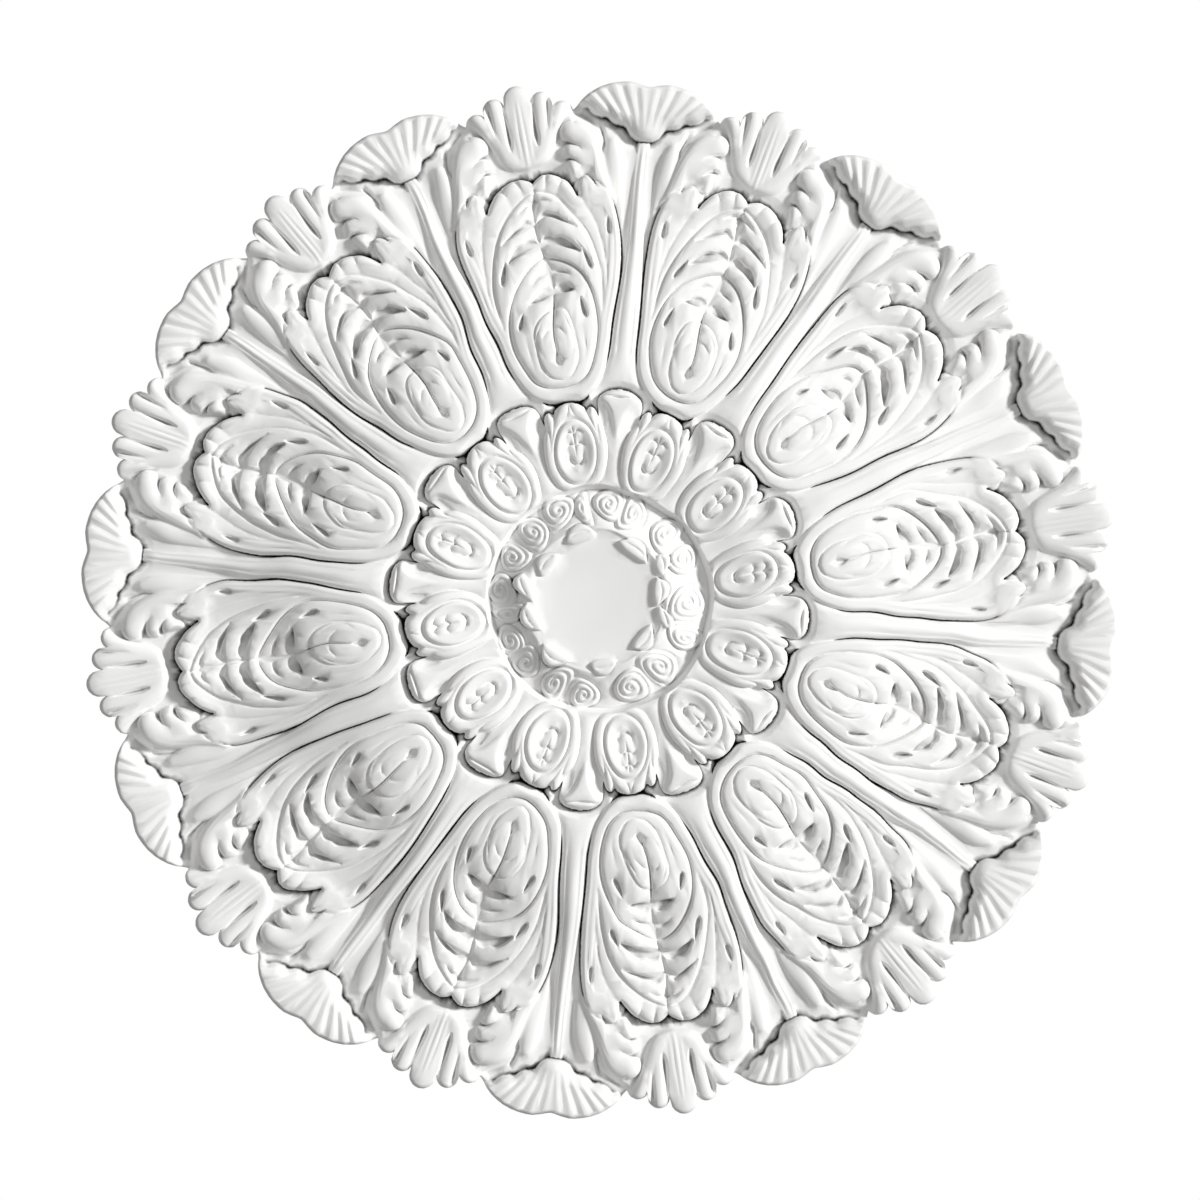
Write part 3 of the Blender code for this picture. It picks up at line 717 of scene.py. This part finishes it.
rose = shaped_grid(int(HALF * RIM_LEAST / GRID_STEP), int((RIM_LEAST - RING_RADIUS) / GRID_STEP), HALF,
                   (RING_RADIUS, rim_radius), carve_repeat)
thinned(rose, REPEAT_FACES)
for v in rose.verts:
    if v.is_boundary:
        turn, far = math.atan2(-v.co.x, v.co.y), v.co.xy.length
        for side in (0, HALF):
            if abs(turn - side) * far < SNAP * STEP:
                turn = side
        if far < (RING_RADIUS + SNAP) * STEP:
            far = RING_RADIUS * STEP
        v.co.x, v.co.y = -far * math.sin(turn), far * math.cos(turn)
bmesh.ops.remove_doubles(rose, verts=rose.verts, dist=WELD * STEP)
# Thinning leaves slivers that stand in the mirror planes.
ears = [f for f in rose.faces for side in (0, HALF)
        if all(abs(math.atan2(-v.co.x, v.co.y) - side) < FLUSH for v in f.verts)]
bmesh.ops.delete(rose, geom=ears, context="FACES")
bmesh.ops.mirror(rose, geom=rose.verts[:] + rose.edges[:] + rose.faces[:], axis="X", merge_dist=WELD * STEP)
bmesh.ops.rotate(rose, verts=rose.verts, cent=(0, 0, 0), matrix=Matrix.Rotation(PETAL_TURN, 3, "Z"))
bmesh.ops.spin(rose, geom=rose.verts[:] + rose.edges[:] + rose.faces[:], cent=(0, 0, 0), axis=(0, 0, 1),
               angle=2 * math.pi * (REPEATS - 1) / REPEATS, steps=REPEATS - 1, use_duplicate=True)
bmesh.ops.remove_doubles(rose, verts=rose.verts, dist=WELD * STEP)

middle = shaped_grid(int(2 * math.pi * RING_RADIUS / GRID_STEP), int(RING_RADIUS / GRID_STEP), 2 * math.pi,
                     (1, RING_RADIUS - RING_JOIN), carve_middle)
bmesh.ops.remove_doubles(middle, verts=middle.verts, dist=WELD * STEP / 10)
pole = [e for e in middle.edges if e.is_boundary and e.verts[0].co.xy.length < RING_RADIUS * STEP / 2]
bmesh.ops.contextual_create(middle, geom=pole)
thinned(middle, MIDDLE_FACES)
disc = bpy.data.meshes.new("middle")
middle.to_mesh(disc)
middle.free()
rose.from_mesh(disc)
bpy.data.meshes.remove(disc)

seam = [e for e in rose.edges if e.is_boundary and e.verts[0].co.xy.length < (RING_RADIUS + RING_JOIN) * STEP]
bmesh.ops.bridge_loops(rose, edges=seam)
wall = bmesh.ops.extrude_edge_only(rose, edges=[e for e in rose.edges if e.is_boundary])["geom"]
for v in wall:
    if isinstance(v, bmesh.types.BMVert):
        v.co.z = rose_high[2]
bmesh.ops.contextual_create(rose, geom=[e for e in rose.edges if e.is_boundary])
bmesh.ops.triangulate(rose, faces=[f for f in rose.faces if len(f.verts) > 3])
bmesh.ops.recalc_face_normals(rose, faces=rose.faces)

casting_mesh = bpy.data.meshes.new("rose_casting")
rose.to_mesh(casting_mesh)
rose.free()
co = np.empty(len(casting_mesh.vertices) * 3, np.float32)
casting_mesh.vertices.foreach_get("co", co)
co = co.reshape(-1, 3).astype(float)
co += by_hand(-co[:, 0] / STEP, co[:, 1] / STEP) * STEP * np.where(co[:, 2:] > -STEP, 0, 1)
casting_mesh.vertices.foreach_set("co", co.astype(np.float32).ravel())
# Painted shade: how hollow each point lies sets how dark its colour is painted, faded out near the rim's
# edge.
painted_shade_attribute = casting_mesh.attributes["hollow"]
hollow = np.empty(len(casting_mesh.vertices), np.float32)
painted_shade_attribute.data.foreach_get("value", hollow)
turn = np.arctan2(-co[:, 0], co[:, 1]) - PETAL_TURN
room = rim_radius(np.abs((turn + HALF) % (2 * HALF) - HALF)) - np.hypot(co[:, 0], co[:, 1]) / STEP
painted_shade_attribute.data.foreach_set("value", (hollow * eased(room, *PAINTED_SHADE_INSIDE)).astype(np.float32))
casting_mesh.shade_smooth()
casting_mesh.set_sharp_from_angle(angle=SHARP)
casting = bpy.data.objects.new("rose_casting", casting_mesh)
bpy.context.scene.collection.objects.link(casting)
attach(casting, "root")
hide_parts("ceiling_rose")

# Gypsum plaster, cast and left unpainted: dull and chalky, near white, with slight clouding where the mix
# dried unevenly, and a fine grain that only shows in raking light. The real grain of about 0.2 mm is drawn
# 1.2 mm wide, or it would not show. The deepest cuts get a painted shade, near-black, which stands for the
# shadow of undercuts that the relief cannot have and draws them darker than their shadow alone.
PLASTER = "#f4f4f3"
PLASTER_CLOUD = "#eeeeed"
# Colour of the painted shade in the deepest cuts, and how hollow a point must lie for it to start and be
# full.
PAINTED_SHADE = "#1c1b1a"
PAINTED_SHADE_FROM = (1.4, 5.4)
CLOUD_SIZE = 0.06
GRAIN_SIZE = 0.0012
GRAIN_HEIGHT = 0.0002


def linear(code):
    """Linear colour of an sRGB hex code."""
    channels = [int(code[i:i + 2], 16) / 255 for i in (1, 3, 5)]
    return [c / 12.92 if c <= 0.04045 else ((c + 0.055) / 1.055) ** 2.4 for c in channels] + [1.0]


def add(tree, kind, settings=None, **values):
    """Adds a node; settings are its properties, values its sockets, set or linked by name."""
    node = tree.nodes.new(kind)
    for name, value in (settings or {}).items():
        setattr(node, name, value)
    for name, value in values.items():
        socket = node.inputs[name.replace("_", " ")]
        if isinstance(value, bpy.types.NodeSocket):
            tree.links.new(value, socket)
        else:
            socket.default_value = value
    return node


plaster = bpy.data.materials.new("cast gypsum plaster")
plaster.use_nodes = True
tree = plaster.node_tree
tree.nodes.clear()
place = add(tree, "ShaderNodeTexCoord").outputs["Object"]
cloud = add(tree, "ShaderNodeTexNoise", Vector=place, Scale=1 / CLOUD_SIZE, Detail=3.0, Roughness=0.6)
tint = add(tree, "ShaderNodeMix", {"data_type": "RGBA"}, Factor=cloud.outputs["Fac"])
tint.inputs[6].default_value = linear(PLASTER)
tint.inputs[7].default_value = linear(PLASTER_CLOUD)
# Painted shade: the hollower a point lies, the nearer its colour goes to near-black, standing for shadow in
# the deep cuts.
hollow = add(tree, "ShaderNodeAttribute", {"attribute_name": "hollow"})
painted_shade_amount = add(tree, "ShaderNodeMapRange", Value=hollow.outputs["Fac"],
              From_Min=PAINTED_SHADE_FROM[0], From_Max=PAINTED_SHADE_FROM[1])
painted_shade_mix = add(tree, "ShaderNodeMix", {"data_type": "RGBA"}, Factor=painted_shade_amount.outputs["Result"])
tree.links.new(tint.outputs[2], painted_shade_mix.inputs[6])
painted_shade_mix.inputs[7].default_value = linear(PAINTED_SHADE)
grain = add(tree, "ShaderNodeTexNoise", Vector=place, Scale=1 / GRAIN_SIZE, Detail=2.0)
bump = add(tree, "ShaderNodeBump", Strength=0.25, Distance=GRAIN_HEIGHT, Height=grain.outputs["Fac"])
surface = add(tree, "ShaderNodeBsdfPrincipled", Roughness=0.9, Metallic=0.0, IOR=1.52)
tree.links.new(painted_shade_mix.outputs[2], surface.inputs["Base Color"])
tree.links.new(bump.outputs["Normal"], surface.inputs["Normal"])
add(tree, "ShaderNodeOutputMaterial", Surface=surface.outputs["BSDF"])
casting_mesh.materials.append(plaster)

# Camera. It stands under the ceiling and looks straight up with +Y at the top of the picture, so the
# picture's right is -X. A long lens keeps the rose flat, as the photograph does.
CAMERA_BELOW = 2.2
PHOTO_SIZE = 1200
camera = bpy.data.objects.new("camera", bpy.data.cameras.new("camera"))
bpy.context.scene.collection.objects.link(camera)
camera.location = (0, 0, -CAMERA_BELOW)
camera.rotation_euler = (math.pi, 0, math.pi)
camera.data.angle = 2 * math.atan(PHOTO_SIZE * STEP / 2 / CAMERA_BELOW)
bpy.context.scene.camera = camera

# Studio. A soft lamp low to the picture's right rakes over the carving, a wide one lights the back from
# above, and the pale floor below and the white surround give the rest.
KEY_TURN = math.radians(72)
KEY_HEIGHT = math.radians(32)
KEY_STRENGTH = 3.25
KEY_SOFTNESS = math.radians(9)
SURROUND_LIGHT = 0.26
TOP_STRENGTH = 1.2
TOP_SOFTNESS = math.radians(70)
FLOOR = (1.5, -2.6, "#efeeec")

lamp = bpy.data.lights.new("key", "SUN")
lamp.energy = KEY_STRENGTH
lamp.angle = KEY_SOFTNESS
key = bpy.data.objects.new("key", lamp)
bpy.context.scene.collection.objects.link(key)
key.location = (-math.sin(KEY_TURN) * math.cos(KEY_HEIGHT), math.cos(KEY_TURN) * math.cos(KEY_HEIGHT),
                -math.sin(KEY_HEIGHT))
key.rotation_euler = (-key.location).to_track_quat("-Z", "Y").to_euler()

lamp = bpy.data.lights.new("top", "SUN")
lamp.energy = TOP_STRENGTH
lamp.angle = TOP_SOFTNESS
bpy.context.scene.collection.objects.link(bpy.data.objects.new("top", lamp))

surround = bpy.data.worlds.new("white surround")
bpy.context.scene.world = surround
surround.use_nodes = True
tree = surround.node_tree
tree.nodes.clear()
seen = add(tree, "ShaderNodeBackground", Color=(1, 1, 1, 1), Strength=1.0)
light = add(tree, "ShaderNodeBackground", Color=(1, 1, 1, 1), Strength=SURROUND_LIGHT)
ray = add(tree, "ShaderNodeLightPath")
both = add(tree, "ShaderNodeMixShader", Fac=ray.outputs["Is Camera Ray"])
tree.links.new(light.outputs["Background"], both.inputs[1])
tree.links.new(seen.outputs["Background"], both.inputs[2])
add(tree, "ShaderNodeOutputWorld", Surface=both.outputs["Shader"])
bpy.context.scene.view_settings.view_transform = "Standard"

size, level, colour = FLOOR
ground = bmesh.new()
bmesh.ops.create_grid(ground, x_segments=1, y_segments=1, size=size)
floor_mesh = bpy.data.meshes.new("floor")
ground.to_mesh(floor_mesh)
ground.free()
for v in floor_mesh.vertices:
    v.co.z = level
floor = bpy.data.objects.new("floor", floor_mesh)
bpy.context.scene.collection.objects.link(floor)
paint = bpy.data.materials.new("pale floor")
paint.use_nodes = True
paint.node_tree.nodes["Principled BSDF"].inputs["Base Color"].default_value = linear(colour)
floor_mesh.materials.append(paint)
